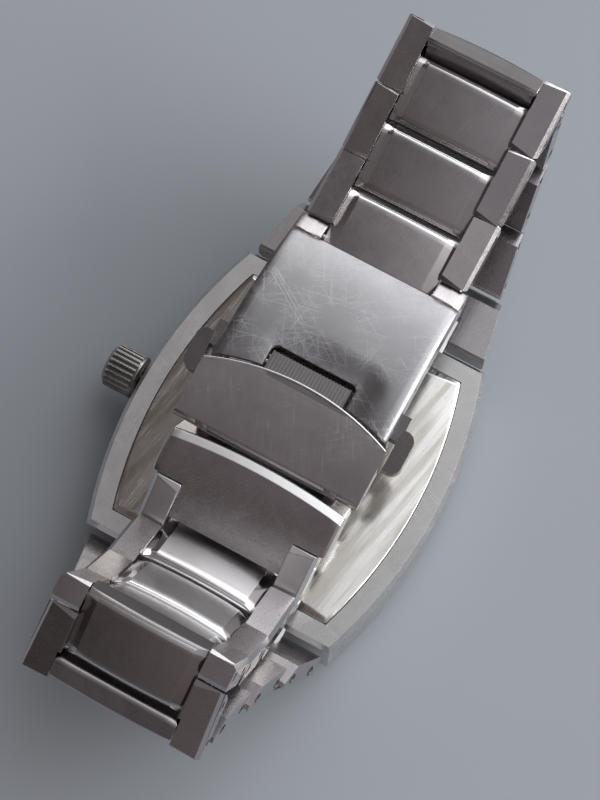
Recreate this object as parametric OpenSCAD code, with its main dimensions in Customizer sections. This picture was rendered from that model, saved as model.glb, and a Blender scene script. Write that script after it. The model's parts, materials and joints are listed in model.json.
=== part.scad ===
// Wristwatch lying dial down, with its steel bracelet closed over the case back.
// Millimetres. +Z is up, +Y points to twelve o'clock, the crown is on the -X side.
// The origin is the centre of the crystal's outer face, which rests on the table.

/* [Case] */
// Width of the case across its middle
case_w = 37; // [36.4:0.1:38.4]
// Width of the case at its two ends
case_end_w = 30.6; // [30:0.1:31.6]
// Length of the case between its ends
case_l = 37.2; // [36.8:0.1:39]
// Height of the case rim above the table
case_h = 9.1; // [9:0.05:9.4]
// Width of the flat rim round the case back
rim_w = 2.6; // [2.2:0.1:2.8]
// Diameter of the crystal
crystal_d = 29; // [28:0.1:29.2]

/* [Crown] */
// Diameter of the crown
crown_d = 5.2; // [4.6:0.1:5.6]
// Length of the crown
crown_l = 4.2; // [3.4:0.1:4.6]
// Number of flutes on the crown
crown_flutes = 24; // [18:2:28]

/* [Bracelet] */
// Width of the straight part of the bracelet
bracelet_w = 20; // [19.4:0.1:20.6]
// Distance from one link pivot to the next
link_pitch = 8.35; // [8.25:0.01:8.5]
// Thickness of a link
link_t = 3.2; // [3:0.05:3.3]
// Share of the width taken by the centre of a link
centre_share = 0.675; // [0.64:0.005:0.69]
// Diameter of the pivot pins
pin_d = 1.1; // [0.9:0.05:1.2]
// Half widths of the bracelet at the case and at the ends of the first links
taper = [14.6, 12.6, 11.2, 10.4]; // [10:0.1:15]
// Lie of the seven links from twelve o'clock, in degrees above the outward direction
twelve_lie = [178, 154, 130, 104.5, -19.3, -20, -10.6]; // [-180:0.1:180]
// Lie of the first three links from six o'clock
six_lie = [122, 130, 135]; // [-180:0.1:180]
// Lie of the last two links from six o'clock, at the clasp
six_end_lie = [-54.5, -36]; // [-180:0.1:180]

/* [Clasp] */
// Radius from the clasp's centre of curvature to its two bracelet pivots
clasp_r = 35.8; // [35:0.1:36.6]
// Slope of the clasp at the cover's bracelet pivot
cover_lean = 21.3; // [20:0.1:22]
// Angle of arc between the clasp's two bracelet pivots
clasp_span = 61.6; // [61:0.1:62]
// Width of the cover at its bracelet end
cover_w = 20.4; // [20:0.1:20.8]
// Width of the cover at its latch end
cover_end_w = 21.6; // [21:0.1:21.8]
// Width of the safety flap
flap_w = 22.4; // [21.6:0.1:22.8]
// Radius of the flap's curved edge
flap_edge_r = 31; // [28:0.5:34]
// Depth of each push button's cap
button_reach = 1.8; // [1.5:0.1:2.4]

/* [Hidden] */
$fn = 64;
tiny = 0.01;
fit = 0.03;
slide_gap = 0.08;

// Case heights, from the crystal up to the back
crystal_h = 1.6;
bezel_z = 0.5;
ledge_h = 0.4;
flange_h = 1.4;
dial_z = crystal_h + ledge_h + flange_h;
dial_h = 0.4;
plate_z = dial_z + dial_h + 0.1;
plate_h = 1.7;
recess_z = 8;
crystal_r = crystal_d / 2;
bezel_r = crystal_r + 0.4;
bore_r = crystal_r;
ring_r = bore_r - 0.1;
stem_z = 4.8;
stem_r = 0.55;
tube_r = 1.4;
back_h = case_h + 0.8 - recess_z;
back_dome_r = 180;

// Bracelet
half_t = link_t / 2;
pin_r = pin_d / 2;
straight_half = bracelet_w / 2;
half_w = concat(taper, [for (i = [0:3]) straight_half]);
centre_half = [for (w = half_w) w * centre_share];
side_start = 1.5;
side_corner = 0.4;
side_tilt = 5;
side_bevel = 0.45;
knuckle = 1.6;
knuckle_round = 0.6;
end_clear = 2.02;
fold_in = 3.5;
fold_out = 1.3;
centre_start = 2.1;
centre_round = 0.45;
join_at = 4.7;
lug_reach = 2.4;
lug_z = 7.3;
links = 7;
centre_tone = [0.38, 0.35, 0.33];
side_tone = [0.42, 0.4, 0.39];

function along(a) = [cos(a), sin(a)];
function chain(p, lie, i = 0) =
    i == len(lie) ? [p] : concat([p], chain(p + link_pitch * along(lie[i]), lie, i + 1));
function lie_of(p, q) = atan2(q[1] - p[1], q[0] - p[0]);
// Corner of a two-link chain between p and q, on its upper side
function elbow(p, q) =
    let (d = q - p, half = norm(d) / 2, rise = sqrt(pow(link_pitch, 2) - half * half))
    (p + q) / 2 + rise * [-d[1], d[0]] / norm(d);

case_pivot = [-(case_l / 2 + lug_reach), lug_z];
twelve_p = chain(case_pivot, twelve_lie);
cover_pivot = [-twelve_p[links][0], twelve_p[links][1]];

// Clasp, in polar terms about its centre of curvature
clasp_c = cover_pivot - clasp_r * [sin(cover_lean), cos(cover_lean)];
cover_a = -cover_lean;
end_a = cover_a + clasp_span;
function on_arc(r, a) = clasp_c + r * [-sin(a), cos(a)];
end_pivot = on_arc(clasp_r, end_a);
deg_mm = 180 / (PI * (clasp_r + half_t));
top_r = clasp_r + half_t;
sheet = 0.8;
wall = 0.85;
wall_r = top_r - 3.5;
blade_t = 0.9;
blade_one_r = top_r - 2.1;
blade_two_r = top_r - 3.7;
eye_r = 0.65;
eye_pin_r = 0.35;
hinge_one = [blade_one_r + 0.4, cover_a + 19.3];
hinge_two = [blade_two_r + 1.25, cover_a + 6.8];
hinge_three = [blade_two_r + 0.45, cover_a + 26.4];
shank_a = cover_a + 26.5;
shank_l = 3;
shank_t = 2;
cap_a = cover_a + 30.5;
cap_l = 5;
button_r = clasp_r - 0.8;
spring_a = cover_a + 22.3;
flap_a = cover_a + 28.1;
flap_t = 0.9;
flap_end_a = cover_a + 41.3;
flap_eye = [top_r - 0.75, flap_end_a];
flap_eye_r = 0.75;
flap_pin_r = 0.25;
flap_gap = 0.3;
flap_lug = [7.25, 8.45];
flap_lug_r = 0.45;
flap_edge_y = on_arc(top_r, flap_a)[0];
tongue_w = 9.5;
tongue_l = 1.85;
tongue_ridges = 24;
end_start_a = flap_end_a + 1.75;
end_half = 10.6;
end_round = 0.9;
tongue_end_a = end_a - centre_start * deg_mm * top_r / clasp_r;
ear_l = 6;
notch_a = end_a - (ear_l + 0.2) * deg_mm;

six_lower_p = chain(case_pivot, six_lie);
six_six_p = end_pivot - link_pitch * along(six_end_lie[1]);
six_five_p = six_six_p - link_pitch * along(six_end_lie[0]);
six_four_p = elbow(six_lower_p[3], six_five_p);
six_p = concat(six_lower_p, [six_four_p, six_five_p, six_six_p, end_pivot]);
six_all_lie = [for (i = [0:links - 1]) lie_of(six_p[i], six_p[i + 1])];

// Building blocks

// Round bar along X, centred
module bar(r, l) {
    rotate([0, 90, 0])
        cylinder(r = r, h = l, center = true);
}

// Ring with a square section
module ring(r_out, r_in, h) {
    difference() {
        cylinder(r = r_out, h = h);
        translate([0, 0, -1])
            cylinder(r = r_in, h = h + 2);
    }
}

// Flat outline in Y and Z, drawn out along X, centred
module across(w) {
    rotate([90, 0, 90])
        linear_extrude(w, center = true)
            children();
}

// Flat outline in X and Z, drawn out along Y from y0 to y1
module lengthways(y0, y1) {
    translate([0, y1, 0])
        rotate([90, 0, 0])
            linear_extrude(y1 - y0)
                children();
}

// Round disc whose upper and lower edges are bevelled
module bevelled_disc(r, z0, z1, low, high) {
    rotate_extrude($fn = 180)
        polygon([
            [0, z0],
            [r - low[0], z0],
            [r, z0 + low[1]],
            [r, z1 - high[1]],
            [r - high[0], z1],
            [0, z1]
        ]);
}

// Barrel-shaped block: two arcs for its sides, straight ends, bevelled edges
module tonneau(inset, z0, z1, low, high) {
    rise = (case_w - case_end_w) / 2;
    arc_r = (pow(case_l / 2, 2) + rise * rise) / (2 * rise);
    end_y = case_l / 2 - inset;
    intersection() {
        for_side(-1)
            translate([case_w / 2 - arc_r, 0, 0])
                bevelled_disc(arc_r - inset, z0, z1, low, high);
        for_side(1)
            translate([case_w / 2 - arc_r, 0, 0])
                bevelled_disc(arc_r - inset, z0, z1, low, high);
        across(case_w + 2)
            polygon([
                [-end_y + low[0], z0],
                [end_y - low[0], z0],
                [end_y, z0 + low[1]],
                [end_y, z1 - high[1]],
                [end_y - high[0], z1],
                [-end_y + high[0], z1],
                [-end_y, z1 - high[1]],
                [-end_y, z0 + low[1]]
            ]);
    }
}

// Turns a shape made for the +X side to the side named
module for_side(side) {
    mirror([side < 0 ? 1 : 0, 0, 0])
        children();
}

module both_sides() {
    for (side = [-1, 1])
        for_side(side)
            children();
}

// Places a shape made about a link's first pivot
module on_link(p, lie) {
    translate([0, p[0], p[1]])
        rotate([lie, 0, 0])
            children();
}

// Flat band of arc about the clasp's centre, from radius r0 to r1
module arc_band(r0, r1, a0, a1) {
    far = 90;
    intersection() {
        difference() {
            circle(r = r1, $fn = 180);
            circle(r = r0, $fn = 180);
        }
        polygon([[0, 0], far * [-sin(a0), cos(a0)], far * [-sin(a1), cos(a1)]]);
    }
}

// Length of arc of the clasp, drawn out from x0 to x1
module arc_block(r0, r1, a0, a1, x0, x1) {
    translate([(x0 + x1) / 2, clasp_c[0], clasp_c[1]])
        across(x1 - x0)
            arc_band(r0, r1, a0, a1);
}

// Puts a shape at a radius and angle on the clasp, with Z pointing outwards
module at_arc(spot) {
    translate([0, clasp_c[0], clasp_c[1]])
        rotate([spot[1], 0, 0])
            translate([0, 0, spot[0]])
                children();
}

// Plan of the clasp cover, narrowed by inset on each side
module cover_plan(inset) {
    y0 = cover_pivot[0] + 4;
    y1 = flap_edge_y - 6;
    translate([0, 0, -1])
        linear_extrude(60)
            polygon([
                [-cover_w / 2 + inset, y0],
                [cover_w / 2 - inset, y0],
                [cover_end_w / 2 - inset, y1],
                [-cover_end_w / 2 + inset, y1]
            ]);
}

// Bracelet links

// Side view of a side piece, its far end cut back below and above to let the next one fold
module side_profile(l, cut_in, cut_out) {
    polygon([
        [-side_start, -half_t + side_corner],
        [-side_start + side_corner, -half_t],
        [l - cut_in, -half_t],
        [l - cut_out, half_t - side_corner],
        [l - cut_out - 2 * side_corner, half_t],
        [-side_start + side_corner, half_t],
        [-side_start, half_t - side_corner]
    ]);
}

// Side view of a centre piece, its near end cut back below to let the link fold
module centre_profile() {
    difference() {
        centre_bar();
        polygon([
            [centre_start - 1, 0.1],
            [centre_start, 0.1],
            [centre_start + 1.68, -half_t - 0.34],
            [centre_start - 1, -half_t - 0.34]
        ]);
    }
}

module centre_bar() {
    y1 = link_pitch + knuckle;
    flat = y1 - knuckle_round - centre_start - centre_round;
    translate([centre_start + centre_round, -half_t])
        square([flat, link_t]);
    translate([centre_start, -half_t + centre_round])
        square([centre_round + tiny, link_t - 2 * centre_round]);
    translate([y1 - knuckle_round - tiny, -half_t + knuckle_round])
        square([knuckle_round + tiny, link_t - 2 * knuckle_round]);
    for (side = [-1, 1]) {
        translate([centre_start + centre_round, side * (half_t - centre_round)])
            circle(r = centre_round);
        translate([y1 - knuckle_round, side * (half_t - knuckle_round)])
            circle(r = knuckle_round);
    }
}

// Centre section, with broad facets along its outer edges
module centre_section(half) {
    facet_w = 1.3;
    facet_h = 0.35;
    edge = 0.25;
    polygon([
        [-half, -half_t + edge],
        [-half + edge, -half_t],
        [half - edge, -half_t],
        [half, -half_t + edge],
        [half, half_t - facet_h],
        [half - facet_w, half_t],
        [-half + facet_w, half_t],
        [-half, half_t - facet_h]
    ]);
}

module link_centre(n) {
    difference() {
        intersection() {
            across(3 * straight_half)
                centre_profile();
            lengthways(0, 2 * link_pitch)
                centre_section(centre_half[n]);
        }
        translate([0, link_pitch, 0])
            bar(pin_r + 0.05, 40);
        translate([0, join_at, 0])
            bar(pin_r + fit, 40);
    }
}

// Pair of side pieces with the pin that joins them to the centre and, past the first link,
// the pin that they turn on
module link_sides(n) {
    w0 = half_w[n - 1];
    w1 = half_w[n];
    drop = (w0 - centre_half[n - 1]) * tan(side_tilt);
    splay = atan2(w0 - w1, link_pitch);
    difference() {
        intersection() {
            translate([0, 0, -link_t])
                linear_extrude(2 * link_t)
                    polygon([[-w0, -side_start], [w0, -side_start], [w1, link_pitch], [-w1, link_pitch]]);
            across(4 * straight_half)
                side_profile(link_pitch, fold_in, fold_out);
        }
        translate([0, link_pitch, 0])
            bar(end_clear, 60);
        translate([-centre_half[n - 1] - slide_gap, -5, -5])
            cube([2 * (centre_half[n - 1] + slide_gap), 5 + centre_start - 0.05, 10]);
        translate([-centre_half[n] - tiny, centre_start - 0.1, -5])
            cube([2 * (centre_half[n] + tiny), 20, 10]);
        bar(pin_r + fit, 60);
        translate([0, join_at, 0])
            bar(pin_r + fit, 60);
        both_sides() {
            translate([centre_half[n - 1], -side_start - 1, half_t])
                rotate([0, side_tilt, 0])
                    cube([20, 20, 5]);
            translate([w0, -side_start, half_t - drop])
                rotate([0, 0, splay])
                    rotate([0, 45, 0])
                        cube([side_bevel * sqrt(2), 60, side_bevel * sqrt(2)], center = true);
        }
    }
    if (n > 1)
        bar(pin_r, w0 + w1 - 1);
    translate([0, join_at, 0])
        bar(pin_r, 2 * (centre_half[n] + 2));
}

module twelve_link(n) {
    mirror([0, 1, 0])
        on_link(twelve_p[n - 1], twelve_lie[n - 1])
            children();
}

module six_link(n) {
    on_link(six_p[n - 1], six_all_lie[n - 1])
        children();
}

// Case and what it holds

module case_lug() {
    translate([0, case_pivot[0], case_pivot[1]])
        intersection() {
            across(3 * straight_half) {
                translate([0, -half_t])
                    square([lug_reach + 1, link_t]);
                translate([-knuckle, -half_t + knuckle_round])
                    square([knuckle + tiny, link_t - 2 * knuckle_round]);
                translate([-knuckle + knuckle_round, -half_t])
                    square([knuckle, link_t]);
                for (side = [-1, 1])
                    translate([-knuckle + knuckle_round, side * (half_t - knuckle_round)])
                        circle(r = knuckle_round);
            }
            lengthways(-10, 10)
                centre_section(centre_half[0]);
        }
}

module case_middle() {
    color([0.55, 0.53, 0.51])
        difference() {
            union() {
                tonneau(0, bezel_z, case_h, [2.2, 1.6], [0.5, 0.7]);
                case_lug();
                mirror([0, 1, 0])
                    case_lug();
            }
            translate([0, 0, bezel_z - 1])
                cylinder(r = bezel_r, h = crystal_h - bezel_z + 1);
            translate([0, 0, -1])
                cylinder(r = bore_r - 0.7, h = 20);
            translate([0, 0, crystal_h + ledge_h])
                cylinder(r = bore_r, h = 20);
            tonneau(rim_w - 0.06, recess_z, case_h + 3, [0, 0], [0, 0]);
            translate([0, 0, recess_z - 0.45])
                ring(bore_r + 0.75, bore_r + 0.2, 2);
            translate([-case_w / 2, 0, stem_z])
                bar(tube_r + 0.01, case_w - 2 * bore_r + 2);
            for (side = [0, 1])
                mirror([0, side, 0])
                    translate([0, case_pivot[0], case_pivot[1]])
                        bar(pin_r + 0.05, 60);
        }
}

module case_back() {
    color([0.75, 0.74, 0.72])
        intersection() {
            tonneau(rim_w, recess_z, recess_z + back_h, [0, 0], [1.5, 0.75]);
            translate([0, 0, recess_z + back_h - back_dome_r])
                rotate([90, 0, 0])
                    cylinder(r = back_dome_r, h = 2 * case_l, center = true, $fn = 360);
        }
}

module back_gasket() {
    color([0.1, 0.1, 0.1])
        translate([0, 0, recess_z - 0.45])
            ring(bore_r + 0.7, bore_r + 0.25, 0.45);
}

module crystal() {
    color([0.8, 0.86, 0.88])
        bevelled_disc(crystal_r, 0, crystal_h, [0.3, 0.3], [0, 0]);
}

module crystal_gasket() {
    color([0.85, 0.85, 0.82])
        translate([0, 0, bezel_z + 0.2])
            ring(bezel_r - 0.02, crystal_r + 0.02, crystal_h - bezel_z - 0.2);
}

module flange_ring() {
    color([0.2, 0.2, 0.21])
        translate([0, 0, crystal_h + ledge_h])
            difference() {
                cylinder(r = ring_r, h = flange_h);
                translate([0, 0, -tiny])
                    cylinder(r1 = ring_r - 0.5, r2 = ring_r - 1.1, h = flange_h + 2 * tiny);
            }
}

module dial() {
    color([0.12, 0.12, 0.13])
        translate([0, 0, dial_z])
            ring(ring_r, 1.2, dial_h);
}

module hour_markers() {
    marker_l = 2.2;
    marker_h = 0.35;
    color([0.85, 0.85, 0.83])
        for (hour = [0:11])
            rotate([0, 0, hour * 30])
                translate([-0.4, ring_r - 1.6 - marker_l, dial_z - marker_h])
                    cube([0.8, marker_l, marker_h]);
}

module movement_ring() {
    color([0.9, 0.9, 0.88])
        difference() {
            translate([0, 0, plate_z - 0.1])
                ring(ring_r, ring_r - 1, recess_z - plate_z);
            translate([-ring_r, 0, stem_z])
                bar(1.1, 6);
        }
}

module main_plate() {
    color([0.72, 0.66, 0.48])
        difference() {
            translate([0, 0, plate_z])
                ring(ring_r - 1.05, 1.1, plate_h);
            translate([-ring_r, 0, stem_z])
                bar(stem_r + 0.1, 2 * ring_r - 8);
            translate([-9.6, -1.6, stem_z - 0.8])
                cube([3, 3.2, 3]);
        }
}

module train_bridge() {
    color([0.78, 0.76, 0.7])
        translate([0, 0, plate_z + plate_h])
            difference() {
                cylinder(r = ring_r - 1.6, h = 1.3);
                translate([5.5, -4.5, -1])
                    cylinder(r = 5, h = 4);
                translate([-20, 5.5, -1])
                    cube([40, 20, 4]);
                translate([-10.2, -2.2, -1])
                    cube([4.6, 4.4, 4]);
            }
}

module battery() {
    color([0.8, 0.8, 0.8])
        translate([5.5, -4.5, plate_z + plate_h])
            bevelled_disc(4.75, 0, 2.1, [0.2, 0.2], [0.2, 0.2]);
}

module drive_coil() {
    coil_l = 9;
    color([0.72, 0.4, 0.2])
        translate([0, 8.2, plate_z + plate_h + 0.9]) {
            bar(0.9, coil_l);
            both_sides()
                translate([coil_l / 2, -1.1, -0.9])
                    cube([1.2, 2.2, 1.8]);
        }
}

// Fork that holds the stem and slides with it
module setting_lever() {
    color([0.6, 0.6, 0.62])
        difference() {
            translate([-8.2, -1.2, stem_z - 0.7])
                cube([0.6, 2.4, 2.6]);
            translate([-8, 0, stem_z])
                bar(0.42, 4);
        }
}

module crown_tube() {
    color([0.7, 0.7, 0.7])
        translate([-case_w / 2 + 1.35, 0, stem_z])
            difference() {
                bar(tube_r, 3.5);
                bar(1, 5);
            }
}

module crown() {
    flute = 0.32;
    color([0.6, 0.59, 0.57])
        translate([-case_w / 2 - 0.55, 0, stem_z])
            rotate([0, -90, 0])
                difference() {
                    bevelled_disc(crown_d / 2, 0, crown_l, [0.3, 0.3], [0.6, 0.5]);
                    for (i = [0:crown_flutes - 1])
                        rotate([0, 0, i * 360 / crown_flutes])
                            translate([crown_d / 2 + 0.08, 0, 0.6])
                                cylinder(r = flute, h = crown_l, $fn = 24);
                    translate([0, 0, -1])
                        cylinder(r = stem_r, h = 3);
                }
}

module crown_stem() {
    outer = -case_w / 2 - 0.55 - 1.9;
    neck = -8.5;
    color([0.65, 0.65, 0.66])
        union() {
            translate([(outer + neck) / 2, 0, stem_z])
                bar(stem_r, neck - outer);
            translate([neck + 0.6, 0, stem_z])
                bar(0.36, 1.4);
            translate([neck + 2.2, 0, stem_z])
                bar(stem_r, 2);
        }
}

module crown_gasket() {
    color([0.1, 0.1, 0.1])
        translate([-case_w / 2 + 1.2, 0, stem_z])
            difference() {
                bar(0.98, 0.8);
                bar(stem_r + 0.05, 2);
            }
}

// Tapered hand with its hub and pipe, pointing to twelve
module watch_hand(reach, wide, tail, z, hub, pipe, bore, pipe_top) {
    difference() {
        union() {
            translate([0, 0, z])
                linear_extrude(0.22)
                    polygon([[-wide, -tail], [wide, -tail], [wide * 0.35, reach], [-wide * 0.35, reach]]);
            translate([0, 0, z])
                cylinder(r = hub, h = 0.22);
            translate([0, 0, z])
                cylinder(r = pipe, h = pipe_top - z);
        }
        translate([0, 0, z + 0.1])
            cylinder(r = bore, h = 10);
    }
}

module hour_hand() {
    color([0.85, 0.85, 0.85])
        difference() {
            watch_hand(7.6, 0.7, 1.8, 2.85, 1.3, 0.95, 0.72, 4.6);
            translate([0, 0, 2])
                cylinder(r = 0.72, h = 4);
        }
}

module minute_hand() {
    color([0.85, 0.85, 0.85])
        difference() {
            watch_hand(10.8, 0.55, 1.8, 2.4, 1.1, 0.62, 0.38, 4.9);
            translate([0, 0, 2])
                cylinder(r = 0.38, h = 4);
        }
}

module second_hand() {
    color([0.8, 0.8, 0.8]) {
        translate([0, 0, 1.95])
            linear_extrude(0.2)
                polygon([[-0.22, -4], [0.22, -4], [0.09, 11.4], [-0.09, 11.4]]);
        translate([0, 0, 1.95])
            cylinder(r = 0.8, h = 0.2);
        translate([0, 0, 1.95])
            cylinder(r = 0.28, h = 3.2);
    }
}

module case_bars() {
    color([0.5, 0.5, 0.5])
        for (side = [0, 1])
            mirror([0, side, 0])
                translate([0, case_pivot[0], case_pivot[1]])
                    bar(pin_r, half_w[0] + half_w[1] - 1);
}

// Clasp

module clasp_cover() {
    ear_in = centre_half[links] + 0.12;
    ear_a = 2.5;
    dish_r = 38;
    color([0.62, 0.61, 0.6])
        difference() {
            intersection() {
                arc_block(wall_r, top_r, cover_a - ear_a, flap_a + 6, -20, 20);
                cover_plan(0);
            }
            intersection() {
                arc_block(wall_r - 2, top_r - sheet, cover_a + ear_a, flap_a + 8, -20, 20);
                cover_plan(wall);
            }
            arc_block(20, 60, cover_a - 10, cover_a + 2.9, -ear_in, ear_in);
            at_arc([clasp_r, cover_a]) {
                bar(2.15, 2 * ear_in + 0.2);
                bar(pin_r + fit, 60);
                across(60)
                    ear_corner();
                mirror([0, 0, 1])
                    across(60)
                        ear_corner();
            }
            at_arc(hinge_one)
                bar(eye_pin_r + fit, 60);
            flap_edge_cut();
            tongue_notch();
            at_arc([top_r + dish_r - 0.4, flap_a - 4])
                sphere(r = dish_r, $fn = 200);
            at_arc([button_r, shank_a])
                cube([60, shank_l + 0.3, shank_t + 0.3], center = true);
        }
}

// What is cut from a cover ear above the pivot, to clear the last link
module ear_corner() {
    polygon([[0.7, 3], [0.7, half_t], [half_t - 0.05, 0.7], [3, 0.7], [3, 3]]);
}

// Room for the flap's curved edge: its wall draws back as it goes down
module flap_edge_cut() {
    lean = 0.14;
    drop = 6;
    at_flap_edge(drop)
        cylinder(
            r1 = flap_edge_r + flap_gap + drop * lean,
            r2 = flap_edge_r + flap_gap - drop * lean,
            h = 2 * drop,
            $fn = 180
        );
}

// Puts a shape on the upright axis of the flap's curved edge, drop below its top
module at_flap_edge(drop) {
    edge = on_arc(top_r, flap_a);
    translate([0, edge[0] - flap_edge_r, edge[1] - drop])
        children();
}

module tongue_notch() {
    notch_l = tongue_l + 0.8;
    round_r = 0.8;
    half = tongue_w / 2 + 0.4;
    translate([0, flap_edge_y, clasp_c[1] + top_r - 5])
        linear_extrude(10) {
            translate([-half, -6])
                square([2 * half, 6 + notch_l - round_r]);
            translate([-half + round_r, -6])
                square([2 * (half - round_r), 6 + notch_l]);
            for (side = [-1, 1])
                translate([side * (half - round_r), notch_l - round_r])
                    circle(r = round_r);
        }
}

module clasp_pins() {
    color([0.5, 0.5, 0.5]) {
        translate([0, cover_pivot[0], cover_pivot[1]])
            bar(pin_r, cover_w - 1);
        at_arc(hinge_one)
            bar(eye_pin_r, cover_w - 0.8);
    }
}

module blade_one() {
    half = 6.6;
    inner = 3;
    color([0.7, 0.69, 0.67]) {
        difference() {
            union() {
                difference() {
                    blade(blade_one_r, hinge_two[1], hinge_one[1], half);
                    both_sides()
                        arc_block(20, 60, hinge_two[1] - 5, hinge_two[1] + 1.6, inner, 20);
                }
                at_arc(hinge_one)
                    bar(eye_r, 2 * half);
                at_arc(hinge_two)
                    bar(eye_r, 2 * inner);
            }
            at_arc(hinge_one)
                bar(eye_pin_r + 0.05, 40);
            at_arc(hinge_two)
                bar(eye_pin_r + fit, 40);
        }
        at_arc(hinge_two)
            bar(eye_pin_r, 2 * half - 0.2);
    }
}

// Curved blade of the clasp
module blade(r, a0, a1, half) {
    arc_block(r, r + blade_t, a0, a1, -half, half);
}

module blade_two() {
    half = 6.8;
    inner = 3.15;
    eye_in = 5.2;
    post_a = hinge_three[1] - 5.5;
    post_r = blade_two_r + 1.5;
    color([0.7, 0.69, 0.67])
        difference() {
            union() {
                difference() {
                    blade(blade_two_r, hinge_two[1] + 0.3, hinge_three[1], half);
                    arc_block(20, 60, hinge_two[1] - 5, hinge_two[1] + 1.6, -inner, inner);
                    arc_block(20, 60, hinge_three[1] - 2.2, hinge_three[1] + 5, -eye_in, eye_in);
                }
                both_sides() {
                    translate([(inner + half) / 2, 0, 0])
                        at_arc(hinge_two)
                            bar(eye_r, half - inner);
                    translate([(eye_in + half) / 2, 0, 0])
                        at_arc(hinge_three)
                            bar(eye_r - 0.05, half - eye_in);
                    arc_block(blade_two_r + 0.2, post_r, post_a, post_a + 2, half - 0.4, half + 0.7);
                }
            }
            at_arc(hinge_two)
                bar(eye_pin_r + 0.05, 40);
            at_arc(hinge_three)
                bar(eye_pin_r, 40);
        }
}

// Push button: a cap outside the cover, on a shank with an inner flange
module push_button() {
    wall_in = cover_end_w / 2 - wall - 0.3;
    cap_in = flap_w / 2 + 0.3;
    tip = cap_in + button_reach;
    flange_t = 0.5;
    flange_l = shank_l + 0.6;
    cap_t = 2.2;
    round_r = 1.2;
    at_arc([button_r, shank_a])
        translate([0, 0, -shank_t / 2]) {
            translate([wall_in - flange_t, -shank_l / 2, 0])
                cube([cap_in + 0.3 - wall_in + flange_t, shank_l, shank_t]);
            translate([wall_in - flange_t, -flange_l / 2, 0])
                cube([flange_t, flange_l, shank_t]);
        }
    at_arc([button_r, cap_a])
        translate([0, 0, -cap_t / 2])
            linear_extrude(cap_t)
                intersection() {
                    translate([cap_in, -cap_l / 2])
                        square([button_reach, cap_l]);
                    union() {
                        translate([cap_in - cap_l, -cap_l / 2])
                            square([tip - round_r - cap_in + cap_l, cap_l]);
                        translate([cap_in - cap_l, -cap_l / 2 + round_r])
                            square([tip - cap_in + cap_l, cap_l - 2 * round_r]);
                        for (side = [-1, 1])
                            translate([tip - round_r, side * (cap_l / 2 - round_r)])
                                circle(r = round_r);
                    }
                }
}

module left_button() {
    color([0.6, 0.6, 0.6])
        for_side(-1)
            push_button();
}

module right_button() {
    color([0.6, 0.6, 0.6])
        push_button();
}

// Bowed leaf under the cover, drawn as both buttons press it in
module button_spring() {
    leaf = 0.25;
    saddle = 2;
    reach = 8;
    drop = 0.5;
    tip = 1.5;
    color([0.75, 0.75, 0.73])
        at_arc([top_r - sheet - 0.012, spring_a])
            lengthways(-0.8, 0.8)
                polygon([
                    [-saddle, 0],
                    [saddle, 0],
                    [reach, -drop],
                    [reach + leaf, -tip],
                    [reach, -tip],
                    [reach - leaf, -drop - leaf],
                    [saddle, -leaf],
                    [-saddle, -leaf],
                    [-reach + leaf, -drop - leaf],
                    [-reach, -tip],
                    [-reach - leaf, -tip],
                    [-reach, -drop]
                ]);
}

module safety_flap() {
    half = flap_w / 2;
    skirt_a = flap_a + 7.2;
    skirt_end_a = flap_end_a - 1.5;
    lean = 0.33;
    depth = 10;
    color([0.36, 0.33, 0.32])
        difference() {
            union() {
                intersection() {
                    union() {
                        arc_block(top_r - flap_t, top_r, flap_a - 2, flap_end_a, -half, half);
                        both_sides()
                            arc_block(top_r - 2.2, top_r - 0.3, skirt_a, skirt_end_a, half - 0.7, half);
                    }
                    at_flap_edge(depth)
                        cylinder(
                            r1 = flap_edge_r - depth * lean,
                            r2 = flap_edge_r + depth * lean,
                            h = 2 * depth,
                            $fn = 180
                        );
                }
                at_arc(flap_eye)
                    bar(flap_eye_r, flap_w);
                thumb_tongue();
            }
            at_arc(flap_eye)
                bar(flap_pin_r + 0.05, 60);
            both_sides()
                lug_room();
        }
}

// Room in the flap's eye for a lug of the end piece, over the flap's whole swing
module lug_room() {
    x0 = flap_lug[0] - 0.15;
    w = flap_lug[1] - flap_lug[0] + 0.3;
    at_arc(flap_eye) {
        translate([x0 + w / 2, 0, 0])
            bar(flap_lug_r + 0.05, w);
        translate([x0, -1.2, -3])
            cube([w, 1.08, 4.2]);
        translate([x0, -1.2, -3])
            cube([w, 2.1, 2.9]);
    }
}

// Ribbed tongue that a thumb lifts
module thumb_tongue() {
    pitch = tongue_w / tongue_ridges;
    difference() {
        intersection() {
            arc_block(top_r - 0.55, top_r + 0.3, flap_a - 4, flap_a + 1, -tongue_w / 2, tongue_w / 2);
            translate([-tongue_w, flap_edge_y - 0.6, 0])
                cube([2 * tongue_w, 0.6 + tongue_l, 60]);
        }
        for (i = [1:tongue_ridges - 1])
            translate([(i - 0.25) * pitch - tongue_w / 2, flap_edge_y - 0.4, clasp_c[1] + top_r - 0.05])
                cube([pitch / 2, tongue_l + 1, 3]);
    }
}

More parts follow.
